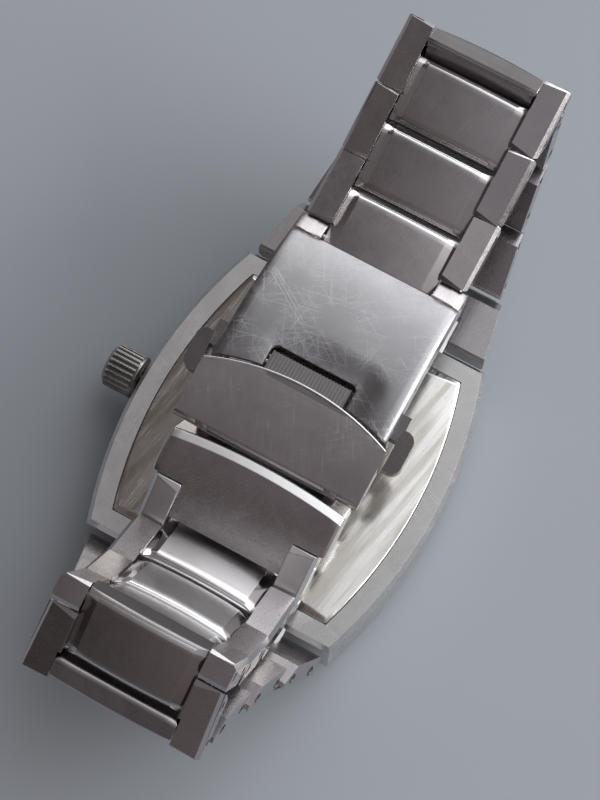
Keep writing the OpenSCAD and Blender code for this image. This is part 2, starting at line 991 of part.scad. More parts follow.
// Last link at the clasp, with the strap and lugs that carry the flap
module end_piece() {
    strap_half = 8.6;
    round_a = end_round * deg_mm;
    lug_w = flap_lug[1] - flap_lug[0];
    lug_a = 0.62;
    strap_a = flap_a + 5.2;
    notch_half = centre_half[links] + slide_gap;
    color([0.35, 0.31, 0.29])
        difference() {
            union() {
                arc_block(blade_two_r + 0.2, top_r, end_start_a, tongue_end_a, -end_half, end_half);
                blade(blade_two_r, strap_a, end_start_a + 2, strap_half);
                both_sides() {
                    arc_block(
                        blade_two_r + 0.3,
                        flap_eye[0],
                        flap_end_a - lug_a,
                        flap_end_a + lug_a,
                        flap_lug[0],
                        flap_lug[1]
                    );
                    translate([flap_lug[0] + lug_w / 2, 0, 0])
                        at_arc(flap_eye)
                            bar(flap_lug_r, lug_w);
                }
            }
            at_arc([top_r - end_round, end_start_a + round_a])
                difference() {
                    translate([-15, 0, 0])
                        cube([30, 2, 2]);
                    bar(end_round, 40);
                }
            both_sides()
                arc_block(20, 60, notch_a, end_a + 8, notch_half, 20);
            at_arc(flap_eye)
                bar(flap_pin_r + fit, 60);
            on_link(end_pivot, end_a)
                translate([0, join_at - 0.3, 0])
                    bar(pin_r + fit, 60);
        }
}

// Side ears of the end piece, with their pins and the flap's pin
module end_ears() {
    half = straight_half;
    notch_half = centre_half[links] + slide_gap;
    edge_z = half_t - (half - notch_half) * tan(side_tilt);
    color([0.7, 0.69, 0.67]) {
        on_link(end_pivot, end_a) {
            difference() {
                intersection() {
                    across(2 * half)
                        side_profile(ear_l, 0.5, 0);
                    lengthways(-10, 20)
                        polygon([
                            [-half, -half_t],
                            [half, -half_t],
                            [half, edge_z - side_bevel],
                            [half - side_bevel, edge_z],
                            [notch_half, half_t],
                            [-notch_half, half_t],
                            [-half + side_bevel, edge_z],
                            [-half, edge_z - side_bevel]
                        ]);
                }
                translate([-notch_half, -10, -5])
                    cube([2 * notch_half, 40, 10]);
                bar(pin_r + fit, 60);
                translate([0, join_at - 0.3, 0])
                    bar(pin_r + fit, 60);
            }
            bar(pin_r, 2 * half - 1);
            translate([0, join_at - 0.3, 0])
                bar(pin_r, 2 * half - 1);
        }
        at_arc(flap_eye)
            bar(flap_pin_r, flap_w - 2);
    }
}

case_middle();
case_back();
back_gasket();
crystal();
crystal_gasket();
flange_ring();
dial();
hour_markers();
movement_ring();
main_plate();
train_bridge();
battery();
drive_coil();
setting_lever();
crown_tube();
crown();
crown_stem();
crown_gasket();
hour_hand();
minute_hand();
second_hand();
case_bars();
for (n = [1:links]) {
    color(centre_tone)
            twelve_link(n)
                link_centre(n);
    color(side_tone)
            twelve_link(n)
                link_sides(n);
    color(centre_tone)
            six_link(n)
                link_centre(n);
    color(side_tone)
            six_link(n)
                link_sides(n);
}
clasp_cover();
clasp_pins();
blade_one();
blade_two();
left_button();
right_button();
button_spring();
safety_flap();
end_piece();
end_ears();
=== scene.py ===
"""Looks of a steel wristwatch that lies dial down with its bracelet closed over the case back.

Lengths are in metres, in the frame of the CAD model.
"""

import json
import math

import bmesh
import bpy
from bpy.props import FloatProperty, FloatVectorProperty, PointerProperty
from bpy.types import Operator, Panel, PropertyGroup
from mathutils import Matrix, Vector

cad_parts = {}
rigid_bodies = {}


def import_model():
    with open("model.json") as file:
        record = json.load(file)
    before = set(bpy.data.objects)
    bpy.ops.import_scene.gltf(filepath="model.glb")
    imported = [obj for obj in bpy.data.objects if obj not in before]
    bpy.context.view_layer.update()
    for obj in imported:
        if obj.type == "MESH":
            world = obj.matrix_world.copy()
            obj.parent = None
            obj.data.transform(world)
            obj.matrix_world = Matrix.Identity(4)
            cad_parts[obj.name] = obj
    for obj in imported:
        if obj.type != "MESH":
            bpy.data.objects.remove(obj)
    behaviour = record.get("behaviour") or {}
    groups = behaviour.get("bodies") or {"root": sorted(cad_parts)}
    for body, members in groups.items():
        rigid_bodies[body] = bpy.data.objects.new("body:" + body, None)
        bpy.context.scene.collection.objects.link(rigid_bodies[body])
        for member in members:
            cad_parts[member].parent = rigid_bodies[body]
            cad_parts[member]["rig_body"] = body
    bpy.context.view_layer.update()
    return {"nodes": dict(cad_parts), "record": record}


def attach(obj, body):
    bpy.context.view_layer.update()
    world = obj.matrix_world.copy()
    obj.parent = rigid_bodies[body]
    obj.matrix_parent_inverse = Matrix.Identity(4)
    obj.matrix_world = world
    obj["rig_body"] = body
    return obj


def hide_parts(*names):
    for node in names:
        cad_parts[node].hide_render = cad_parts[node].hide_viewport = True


bl_info = {
    "name": "Wristwatch Looks",
    "version": (1, 0, 0),
    "blender": (4, 5, 0),
    "location": "View3D > Sidebar > Wristwatch",
    "description": "Finishes the pieces of a steel wristwatch and sets its stage",
    "category": "Object",
}

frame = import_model()
joint_at = {row["name"]: row.get("pos_m") for row in frame["record"]["behaviour"]["joints"]}

X_AXIS = Vector((1, 0, 0))

# Links from the case to the clasp, those whose tops get a lighter tone as painted sheen, and
# those whose end faces get a darker tone as painted shade where the bracelet bends back
LINKS = [f"{end}_link_{n}" for end in ("twelve", "six") for n in range(1, 8)]
NEAR_CLASP = ("six_link_6", "six_link_7")
AT_BENDS = ("twelve_link_4", "six_link_4")


def out_at(angle):
    """Direction out of the clasp at an angle on its arc, counted from +Z towards -Y."""
    return Vector((0, -math.sin(angle), math.cos(angle)))


# Arc of the clasp, about an axis along X: the place of the cover's hinge on it, the radius of
# the cover's top, and the angle of the seam between the cover and its knuckles
COVER_A, COVER_R = math.radians(-21.3), 0.0358
CENTRE = Vector(joint_at["cover_lift"]) - COVER_R * out_at(COVER_A)
TOP_R = 0.0374
SEAM_A = math.radians(-18.5)

# Hinge of the safety flap, with the directions out of the clasp and towards the end piece there
HINGE = Vector(joint_at["flap_lift"])
OUT = (HINGE - CENTRE).normalized()
TO_END = X_AXIS.cross(OUT)

# Places of an eased piece's finishes in its list of materials
FINISH, RIM, FACET, EXTRA = range(4)

# A face whose normal has more than this along X leans to the side
LEAN = 0.15

# Distances within which a cut and a merge take points as one
CUT_SNAP, MERGE_SNAP = 1e-7, 2e-6

# Camera of the photograph, fitted to the corners of the links and of the case
CAMERA_EL, CAMERA_AZ, CAMERA_ROLL = (math.radians(a) for a in (71.31, 24.13, 4.83))
CAMERA_TARGET = Vector((-0.00118, 0.00473, 0.011))
CAMERA_DISTANCE = 0.27935
CAMERA_LENS, CAMERA_SENSOR = 112.5, 36
CAMERA_NEAR, CAMERA_FAR = 0.01, 10

LAMP_TARGET = Vector((0, 0, 0.012))
LAMP_DISTANCE = 0.6
FLOOR_HALF = 3

# Tones of the surround, from the viewer's side to the side beyond the watch
BRIGHT_SIDE = Vector((0.45, 0.8, 0.4)).normalized()
AHEAD_TONES = (
    (0.0, (0.05, 0.042, 0.04)),
    (0.3, (0.12, 0.1, 0.097)),
    (0.5, (0.18, 0.165, 0.175)),
    (0.66, (0.205, 0.195, 0.205)),
    (0.74, (0.25, 0.24, 0.24)),
    (0.8, (0.5, 0.5, 0.51)),
    (0.85, (0.8, 0.81, 0.83)),
    (0.92, (0.95, 0.97, 1.0)),
    (1.0, (1.15, 1.17, 1.2)),
)

# Factors on those tones from -X to +X, and on their strength from the horizon up to LOW_TOP
ACROSS_TONES = (
    (0.0, (0.5, 0.45, 0.42)),
    (0.32, (0.6, 0.55, 0.52)),
    (0.435, (1.0, 1.0, 1.0)),
    (0.54, (1.8, 1.82, 1.85)),
    (0.7, (1.4, 1.4, 1.4)),
    (1.0, (1.2, 1.2, 1.2)),
)
LOW_TOP, LOW_SHARE = 0.3, 0.6


# Wiring of materials


class Wiring:
    """Adds nodes to a tree and wires them."""

    def __init__(self, tree):
        self.tree = tree

    def add(self, kind):
        """Adds a node."""
        return self.tree.nodes.new(kind)

    def set(self, socket, value):
        """Puts a value, or the output of another node, on an input socket."""
        if isinstance(value, bpy.types.NodeSocket):
            self.tree.links.new(value, socket)
        else:
            socket.default_value = value

    def math(self, operation, a, b=0.0):
        """Result of an operation on one value or two."""
        node = self.add("ShaderNodeMath")
        node.operation = operation
        self.set(node.inputs[0], a)
        self.set(node.inputs[1], b)
        return node.outputs[0]

    def parts(self, vector):
        """X, Y and Z of a vector."""
        node = self.add("ShaderNodeSeparateXYZ")
        self.set(node.inputs[0], vector)
        return node.outputs

    def span(self, value, low, high, to_low=0.0, to_high=1.0):
        """Maps a value from one span to another, and holds it there."""
        node = self.add("ShaderNodeMapRange")
        for socket, item in zip(node.inputs, (value, low, high, to_low, to_high)):
            self.set(socket, item)
        return node.outputs[0]

    def mix(self, share, a, b, blend="MIX"):
        """Mixes two colours, which have the node's sockets after those of values and vectors."""
        factor, first, second, result = 0, 6, 7, 2
        node = self.add("ShaderNodeMix")
        node.data_type = "RGBA"
        node.blend_type = blend
        self.set(node.inputs[factor], share)
        for socket, colour in ((node.inputs[first], a), (node.inputs[second], b)):
            whole = isinstance(colour, bpy.types.NodeSocket)
            self.set(socket, colour if whole else (*colour, 1.0))
        return node.outputs[result]

    def ramp(self, value, stops):
        """Colour at a value between 0 and 1, from the places and colours of stops."""
        node = self.add("ShaderNodeValToRGB")
        self.set(node.inputs[0], value)
        elements = node.color_ramp.elements
        for element, (_, colour) in zip(elements, (stops[0], stops[-1])):
            element.color = (*colour, 1.0)
        for place, colour in stops[1:-1]:
            elements.new(place).color = (*colour, 1.0)
        return node.outputs[0]


class Recipe(Wiring):
    """Lays out the nodes of one material and wires them to a Principled shader."""

    def __init__(self, name):
        self.material = bpy.data.materials.new(name)
        self.material.use_nodes = True
        super().__init__(self.material.node_tree)
        self.tree.nodes.clear()
        output = self.add("ShaderNodeOutputMaterial")
        self.shader = self.add("ShaderNodeBsdfPrincipled")
        self.set(output.inputs["Surface"], self.shader.outputs["BSDF"])
        self.place = self.add("ShaderNodeTexCoord").outputs["Object"]

    def finish(self, **values):
        """Sets sockets of the shader by name, with underscores for spaces."""
        for name, value in values.items():
            self.set(self.shader.inputs[name.replace("_", " ")], value)
        return self.material

    def grain(self, size, turn=(0.0, 0.0, 0.0), shift=0.0, detail=2.0):
        """Noise whose grains have one size, or one for each of three turned axes.

        A different shift gives grains in other places.
        """
        mapping = self.add("ShaderNodeMapping")
        mapping.vector_type = "TEXTURE"
        self.set(mapping.inputs["Vector"], self.place)
        self.set(mapping.inputs["Location"], (shift, shift * 0.7, shift * 0.4))
        self.set(mapping.inputs["Rotation"], turn)
        self.set(mapping.inputs["Scale"], size if isinstance(size, tuple) else (size,) * 3)
        noise = self.add("ShaderNodeTexNoise")
        self.set(noise.inputs["Vector"], mapping.outputs[0])
        self.set(noise.inputs["Scale"], 1.0)
        self.set(noise.inputs["Detail"], detail)
        return noise.outputs[0]

    def spread(self, noise, to_low=0.0, to_high=1.0):
        """Maps the span that most values of a noise lie in to another."""
        return self.span(noise, 0.3, 0.7, to_low, to_high)

    def bump(self, height, depth, strength):
        """Normal of a surface with a fine relief."""
        node = self.add("ShaderNodeBump")
        self.set(node.inputs["Strength"], strength)
        self.set(node.inputs["Distance"], depth)
        self.set(node.inputs["Height"], height)
        return node.outputs[0]

    def scratches(self, angles, length, width):
        """Mask of fine short scratches that lie in patches, at the given angles about +Z."""
        depth, step, line_from, line_to = 0.02, 0.013, 0.72, 0.78
        patch_size, patch_shift, patch_from, patch_to = 0.0045, 0.031, 0.36, 0.56
        mask = None
        for i, angle in enumerate(angles, 1):
            turn = (0, 0, math.radians(angle))
            streak = self.grain((length, width, depth), turn, step * i, detail=0.0)
            line = self.span(streak, line_from, line_to)
            mask = line if mask is None else self.math("MAXIMUM", mask, line)
        patch = self.grain(patch_size, shift=patch_shift)
        return self.math("MULTIPLY", mask, self.span(patch, patch_from, patch_to))


def shade(tone, share):
    """Darkens or lightens a tone."""
    return [c * share for c in tone]


def steel(
    name, tone, rough, grain, marks, along="Y", angles=(38, -22, 71), cut=(0.0045, 0.00005),
    streak=0.0,
):
    """Steel with a fine grain along one axis, faint clouding, light scratches and wiped streaks.

    grain, marks and streak are the strengths of the grain, the scratches and the streaks.
    angles gives the directions of the scratches about +Z, the first of them that of the streaks
    too, and cut gives the length and width of a scratch.
    """
    cloud_size, smudge_size = 0.006, (0.0016, 0.0022, 0.0018)
    grain_length, grain_width = 0.005, 0.00013
    streak_size, streak_tint = (0.016, 0.0011, 0.02), (0.62, 0.6, 0.55)
    cloud_dark, cloud_light, grain_dark = 0.93, 1.05, 0.7
    mark_light, lightest = 1.5, 0.95
    grain_share, grain_sway, mark_rough, mark_deep = 0.22 * grain, 0.07 * grain, 0.3, 2.0
    r = Recipe(name)
    cloud = r.grain(cloud_size, detail=3.0)
    smudge = r.grain(smudge_size, shift=0.05, detail=3.0)
    brush = r.grain(tuple(grain_length if axis == along else grain_width for axis in "XYZ"))
    lines = r.scratches(angles, *cut)
    colour = r.mix(r.spread(cloud), shade(tone, cloud_dark), shade(tone, cloud_light))
    colour = r.mix(r.spread(brush, 0.0, grain_share), colour, shade(tone, grain_dark))
    lit = [min(lightest, c) for c in shade(tone, mark_light)]
    colour = r.mix(r.math("MULTIPLY", lines, marks), colour, lit)
    if streak:
        wipe = r.grain(streak_size, (0, 0, math.radians(angles[0])), shift=0.07)
        wiped = r.span(wipe, 0.42, 0.6, 0.0, streak)
        colour = r.mix(wiped, colour, [a * b for a, b in zip(streak_tint, tone)])
    brushed = r.spread(brush, rough - grain_sway, rough + grain_sway)
    smudged = r.math("ADD", brushed, r.span(smudge, 0.4, 0.75, 0.0, 0.05))
    relief = r.math("MULTIPLY", brush, grain)
    relief = r.math("SUBTRACT", relief, r.math("MULTIPLY", lines, mark_deep * marks))
    return r.finish(
        Base_Color=colour,
        Metallic=1.0,
        Roughness=r.math("ADD", smudged, r.math("MULTIPLY", lines, mark_rough * marks)),
        Normal=r.bump(relief, depth=0.00001, strength=0.3),
    )


def plain_metal(name, tone, rough):
    """Small metal part with faint turning marks."""
    width, length = 0.0004, 0.0032
    r = Recipe(name)
    marks = r.grain((width, length, width), detail=3.0)
    return r.finish(
        Base_Color=r.mix(r.spread(marks), shade(tone, 0.86), tone),
        Metallic=1.0,
        Roughness=r.spread(marks, rough - 0.06, rough + 0.08),
    )


def moulded(name, tone, rough):
    """Plastic or rubber with a fine moulded grain."""
    r = Recipe(name)
    grains = r.grain(0.0005, detail=3.0)
    return r.finish(
        Base_Color=r.mix(r.spread(grains), shade(tone, 0.85), tone),
        Roughness=r.spread(grains, rough - 0.05, rough + 0.07),
        Normal=r.bump(grains, depth=0.00002, strength=0.25),
    )


def clear_glass():
    """Flat crystal with a few light smears."""
    r = Recipe("Crystal glass")
    smear = r.grain((0.006, 0.002, 0.004), detail=3.0)
    return r.finish(
        Base_Color=(0.95, 0.97, 0.98, 1.0),
        Roughness=r.span(smear, 0.45, 0.75, 0.02, 0.09),
        IOR=1.52,
        Transmission_Weight=1.0,
    )


def dial_paint(tone, track):
    """Satin dial paint with sixty plain minute strokes round its edge."""
    strokes, half_stroke = 60, 0.09
    inner, outer, fleck = 0.01295, 0.01335, 0.00012
    r = Recipe("Dial paint")
    x, y, _ = r.parts(r.place)
    radius = r.math("SQRT", r.math("ADD", r.math("MULTIPLY", x, x), r.math("MULTIPLY", y, y)))
    turn = r.math("MULTIPLY", r.math("ARCTAN2", y, x), strokes / (2 * math.pi))
    near = r.math("ABSOLUTE", r.math("SUBTRACT", turn, r.math("ROUND", turn)))
    stroke = r.math("LESS_THAN", near, half_stroke)
    within = r.math("LESS_THAN", radius, outer)
    band = r.math("MULTIPLY", r.math("GREATER_THAN", radius, inner), within)
    flecks = r.grain(fleck, detail=3.0)
    ground = r.mix(r.span(flecks, 0.35, 0.7), tone, shade(tone, 1.6))
    return r.finish(
        Base_Color=r.mix(r.math("MULTIPLY", stroke, band), ground, track),
        Roughness=r.spread(flecks, 0.32, 0.42),
    )


def wound_wire(tone):
    """Copper winding, its turns side by side along the coil, with painted shade in the grooves
    between turns.
    """
    pitch = 0.00018
    r = Recipe("Copper winding")
    turns = r.math("SINE", r.math("MULTIPLY", r.parts(r.place)[0], 2 * math.pi / pitch))
    return r.finish(
        Base_Color=r.mix(r.span(turns, -1.0, 1.0), shade(tone, 0.55), tone),
        Metallic=0.85,
        Roughness=0.35,
        Normal=r.bump(turns, depth=0.00004, strength=0.6),
    )


# Making of pieces


def held(value):
    """A value, held between 0 and 1."""
    return min(1.0, max(0.0, value))


def slice_at(shape, place, normal):
    """Cuts a shape's faces along a plane, so that it can bend there."""
    bmesh.ops.bisect_plane(
        shape,
        geom=shape.verts[:] + shape.edges[:] + shape.faces[:],
        dist=CUT_SNAP,
        plane_co=place,
        plane_no=normal,
    )


def slice_across(shape, x):
    """Cuts a shape across its width."""
    slice_at(shape, (x, 0, 0), X_AXIS)


def slice_arc(shape, angle):
    """Cuts a shape at an angle on the arc of the clasp."""
    slice_at(shape, CENTRE, (0, math.cos(angle), math.sin(angle)))


def columns(shape, half, count=16):
    """Cuts a shape into columns across its width, so that its long edges can bow."""
    for i in range(1, count):
        slice_across(shape, (2 * i / count - 1) * half)


def on_arc(place):
    """Distance of a place from the axis of the clasp, and its angle there."""
    d = place - CENTRE
    return math.hypot(d.y, d.z), math.atan2(-d.y, d.z)


def from_hinge(place):
    """Distances of a place from the flap's hinge, towards the end piece and out of the clasp."""
    d = place - HINGE
    return d.dot(TO_END), d.dot(OUT)


def raise_to(v, radius):
    """Moves a vertex straight out from the axis of the clasp, or in."""
    d = v.co - CENTRE
    share = radius / math.hypot(d.y, d.z)
    v.co = CENTRE + Vector((d.x, d.y * share, d.z * share))


def form_cover(shape):
    """Rolls the long edges of the cover over, sinks a soft dish round the thumb tongue, and cuts
    a groove where each knuckle meets it.

    The dish starts at the edge of the tongue's room and fades out towards the left.
    """
    half, roll, drop = 0.0107, 0.0013, 0.00075
    room, room_a = 0.00515, math.radians(2.73)
    dish, reach, left = 0.0004, 0.0034, 0.0085
    groove, groove_a, knuckle = 0.0002, math.radians(0.28), 0.0068
    skin, facing, roll_turn = 0.00058, 0.85, 15
    column, column_count = 0.00045, 20
    row, first_row, row_count = math.radians(0.9), math.radians(8.5), 34
    turns = [math.radians(a) for a in range(0, 90, roll_turn)]
    steps = [half - roll * (1 - math.sin(turn)) for turn in turns]
    for x in steps + [column * i for i in range(column_count)]:
        slice_across(shape, -x)
        slice_across(shape, x)
    rows = [first_row - row * i for i in range(row_count)]
    for angle in rows + [SEAM_A - groove_a, SEAM_A + groove_a]:
        slice_arc(shape, angle)
    shape.normal_update()
    for v in shape.verts:
        radius, angle = on_arc(v.co)
        out = out_at(angle)
        if radius < TOP_R - skin or all(f.normal.dot(out) < facing for f in v.link_faces):
            continue
        wide = abs(v.co.x)
        over = held((wide - half + roll) / roll)
        far = math.hypot(max(0.0, wide - room), max(0.0, room_a - angle) * TOP_R)
        near = held(1 - far / reach) * held(1 + v.co.x / left)
        sink = drop * (1 - math.sqrt(1 - over**2)) + dish * near**2 * (3 - 2 * near)
        if abs(angle - SEAM_A) < groove_a / 5 and wide > knuckle:
            sink += groove
        raise_to(v, TOP_R - sink)


def on_seam(place):
    """Tells whether a place lies at the seam between the cover and its knuckles."""
    return abs(on_arc(place)[1] - SEAM_A) < math.radians(0.5)


def on_knuckle(face):
    """Tells whether a face lies on one of the cover's knuckles."""
    return on_arc(face.calc_center_median())[1] < SEAM_A


def link_up(node):
    """Direction out of the bracelet at a link, from the facets of its centre."""
    steepest = 0.6
    faces = [p for p in frame["nodes"][node].data.polygons if LEAN < abs(p.normal.x) < steepest]
    up = sum((p.normal * p.area for p in faces), Vector())
    up.x = 0
    return up.normalized()


def link_end(up):
    """Test for the two end faces of a link's centre."""
    sideways, upwards = 0.1, 0.5

    def test(face):
        return abs(face.normal.x) < sideways and abs(face.normal.dot(up)) < upwards

    return test


def domed(up):
    """Trim that bows the top of a link's centre a little, and wears a slope at its two ends.

    The bow fades out below the top. The trim returns the faces of the slopes, which get the
    worn-edge tone, partly painted highlight.
    """
    along = X_AXIS.cross(up)
    across_sag, along_sag = 0.00036, 0.0001
    deep, fade, skin = 0.0008, 0.0003, 0.00005
    worn, fall = 0.00045, 0.00024
    column, column_count, row, row_count, facing = 0.13, 6, 0.17, 4, 0.7

    def trim(shape):
        top = max(v.co.dot(up) for v in shape.verts)
        ends = [v.co.dot(along) for v in shape.verts]
        middle, reach = (min(ends) + max(ends)) / 2, (max(ends) - min(ends)) / 2
        half = max(abs(v.co.x) for v in shape.verts)
        crest = [v.co.dot(along) for v in shape.verts if v.co.dot(up) > top - skin]
        near_end, far_end = min(crest) + worn, max(crest) - worn
        for end in (near_end, far_end):
            slice_at(shape, along * end, along)
        for i in range(-column_count, column_count + 1):
            slice_across(shape, column * i * half)
        for i in range(-row_count, row_count + 1):
            slice_at(shape, along * (middle + row * i * reach), along)
        for v in shape.verts:
            at = v.co.dot(along)
            across, ahead = v.co.x / half, (at - middle) / reach
            past = held(max(near_end - at, at - far_end) / worn)
            sag = across_sag * across**2 + along_sag * ahead**2 + fall * past
            v.co -= up * (held((v.co.dot(up) - top + deep) / fade) * sag)
        shape.normal_update()
        tops = [f for f in shape.faces if f.normal.dot(up) > facing]
        return [f for f in tops if not near_end < f.calc_center_median().dot(along) < far_end]

    return trim


def bow_end_piece(shape):
    """Draws the ends of the front edge back into an arc, and flattens its rounding to a slope.

    The slope lies from front to top. Behind it the shift dies away until calm.
    """
    half, sweep, stretch = 0.0106, 0.0008, 0.12
    front, top, calm, crest, fall = 0.00112, 0.00205, 0.0065, 0.00069, 0.00067
    knuckle, under, straight, curl = 0.0009, -0.0019, 0.82, 8
    columns(shape, half)
    for v in shape.verts:
        along, high = from_hinge(v.co)
        if along < knuckle or high < under:
            continue
        shift = sweep * (v.co.x / half) ** 2
        if along > top:
            shift = (shift + stretch * (top - front)) * held((calm - along) / (calm - top))
        else:
            shift += stretch * max(0.0, along - front)
            if high > 0:
                ahead = held((top - along) / (top - front))
                steep = straight * ahead + (1 - straight) * (1 - math.sqrt(1 - ahead**curl))
                v.co += OUT * (crest - fall * steep - high)
        v.co += TO_END * shift


def on_slope(face):
    """Tells whether a face lies on the polished slope at the front of the end piece, whose
    worn-edge tone is partly painted highlight.
    """
    lowest, outwards, frontwards = 0.0001, 0.6, 0.3
    high = from_hinge(face.calc_center_median())[1]
    out, ahead = face.normal.dot(OUT), -face.normal.dot(TO_END)
    return high > lowest and out > outwards and ahead > frontwards


def form_flap(shape):
    """Hollows the rear edge of the flap to follow the end piece, and sinks the tongue.

    The corner of each hinge notch is eased, so that it clears the knuckle when the flap is up.
    """
    half, sweep, sunk, skin = 0.0112, 0.0004, 0.00035, 0.00001
    rear, rear_fade, low, low_fade = 0.0003, 0.00045, 0.0008, 0.0003
    notch_x, notch_along, notch_high = (0.007, 0.0087), (0.0, 0.0002), (0.0004, 0.00062)
    notch_ease = 0.00006
    columns(shape, half)
    for v in shape.verts:
        along = from_hinge(v.co)[0]
        radius = on_arc(v.co)[0]
        if on_tongue(v.co) and radius > TOP_R + skin:
            raise_to(v, radius - sunk)
        high = from_hinge(v.co)[1]
        if along > rear and high > low:
            share = held((along - rear) / rear_fade) * held((high - low) / low_fade)
            v.co -= TO_END * (sweep * (1 - (v.co.x / half) ** 2) * share)
        spans = ((abs(v.co.x), notch_x), (along, notch_along), (high, notch_high))
        if all(a < value < b for value, (a, b) in spans):
            v.co += OUT * notch_ease


def flap_bead(shape):
    """Adds the polished bead along the arc of the flap, and returns its faces, which get the
    worn-edge tone, partly painted highlight.

    The arc's radius grows by lean with height, as that of the flap's edge does.
    """
    arc_r, lean, edge_a = 0.031, 0.33, math.radians(6.8)
    end, thick, back, sunk = 0.0111, 0.00017, 0.00012, 0.0001
    parts, sides = 48, 8
    tip = CENTRE + TOP_R * out_at(edge_a)
    before = set(shape.faces)
    last = []
    for i in range(parts + 1):
        x = end * (2 * i / parts - 1)
        z = tip.z
        for _ in range(3):
            bend = arc_r + lean * (z - tip.z)
            y = tip.y - arc_r + math.sqrt(bend**2 - x**2)
            z = CENTRE.z + math.sqrt(TOP_R**2 - (y - CENTRE.y) ** 2)
        out = Vector((0, y - CENTRE.y, z - CENTRE.z)).normalized()
        ahead = Vector((x, y - tip.y + arc_r, 0)).normalized()
        middle = Vector((x, y, z)) - ahead * back - out * sunk
        turn = Matrix((ahead, out, ahead.cross(out))).transposed()
        ring = bmesh.ops.create_circle(
            shape,
            cap_ends=i in (0, parts),
            segments=sides,
            radius=thick,
            matrix=Matrix.Translation(middle) @ turn.to_4x4(),
        )
        edges = list({e for v in ring["verts"] for e in v.link_edges})
        if last:
            bmesh.ops.bridge_loops(shape, edges=last + edges)
        last = edges
    made = [f for f in shape.faces if f not in before]
    bmesh.ops.recalc_face_normals(shape, faces=made)
    return made


def outer_seam(reach):
    """Test for the long outer edges of a piece, where its top meets a side wall past reach."""
    flat, upright = 0.3, 0.9

    def test(e):
        across = sorted(abs(f.normal.x) for f in e.link_faces)
        middle = (e.verts[0].co + e.verts[1].co) / 2
        return across[0] < flat and across[1] > upright and abs(middle.x) > reach

    return test


def on_tongue(place):
    """Tells whether a place lies on the ribbed tongue of the flap."""
    half, root = 0.0049, -0.0077
    return abs(place.x) < half and from_hinge(place)[0] < root


def leans(face):
    """Tells whether a face leans to the side."""
    return abs(face.normal.x) > LEAN


def round_off(shape, chosen, width, segments):
    """Rounds the convex edges that pass a test, and returns the new faces."""
    edges = [e for e in shape.edges if len(e.link_faces) == 2 and e.is_convex and chosen(e)]
    if not edges:
        raise RuntimeError("no edge to round")
    made = bmesh.ops.bevel(
        shape,
        geom=edges,
        offset=width,
        offset_type="OFFSET",
        segments=segments,
        profile=0.5,
        affect="EDGES",
        clamp_overlap=True,
        material=-1,
    )
    return made["faces"]


def stand_for(node, shape, finishes):
    """Makes a shape the piece that stands for a CAD node."""
    data = bpy.data.meshes.new(node + "_finish")
    shape.to_mesh(data)
    shape.free()
    for finish in finishes:
        data.materials.append(finish)
    piece = bpy.data.objects.new(node + "_finish", data)
    bpy.context.scene.collection.objects.link(piece)
    weighted = piece.modifiers.new("Even shading", "WEIGHTED_NORMAL")
    weighted.keep_sharp = True
    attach(piece, frame["nodes"][node]["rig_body"])
    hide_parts(node)


def eased(
    node, finish, rim, edge, bend=24.0, facet=None, facets=leans, seams=(), least=0.0,
    form=None, sharp=None, trim=None, extra=None,
):
    """Copy of a CAD node with its sharp edges eased, which stands for the node.

    Edges that bend by more than bend degrees are eased to the width edge and get the finish rim.
    The facet finish goes on the faces that pass the test facets. seams gives tests and widths
    of edges that get a broader rounding. Edges shorter than least, or at places that pass the
    test sharp, stay as they are. form reshapes the copy first, and trim adds to it last.
    extra gives one more finish and the test of the faces that get it.
    """
    flat, crisp = math.radians(0.4), math.radians(50)
    shape = bmesh.new()
    shape.from_mesh(frame["nodes"][node].data)
    bmesh.ops.remove_doubles(shape, verts=shape.verts, dist=MERGE_SNAP)
    bmesh.ops.dissolve_limit(shape, angle_limit=flat, verts=shape.verts, edges=shape.edges)
    if form:
        form(shape)
        shape.normal_update()
    for face in shape.faces:
        face.smooth = True
        face.material_index = FACET if facet and facets(face) else FINISH
        if extra and extra[1](face):
            face.material_index = EXTRA
    for test, width in seams:
        for face in round_off(shape, test, width, segments=4):
            face.material_index = RIM

    def chosen(e):
        if sharp and sharp((e.verts[0].co + e.verts[1].co) / 2):
            return False
        return e.calc_face_angle() > math.radians(bend) and e.calc_length() > least

    made = round_off(shape, chosen, edge, segments=2)
    if trim:
        made = made + trim(shape)
    for face in made:
        face.material_index = RIM
        face.smooth = True
    for e in shape.edges:
        e.smooth = len(e.link_faces) != 2 or e.calc_face_angle() < crisp
    finishes = [finish, rim, facet or finish]
    if extra:
        finishes.append(extra[0])
    stand_for(node, shape, finishes)


def dress(node, finish):
    """Gives a CAD node that keeps its shape its own finish."""
    data = frame["nodes"][node].data
    data.materials.clear()
    data.materials.append(finish)


# What a user may change


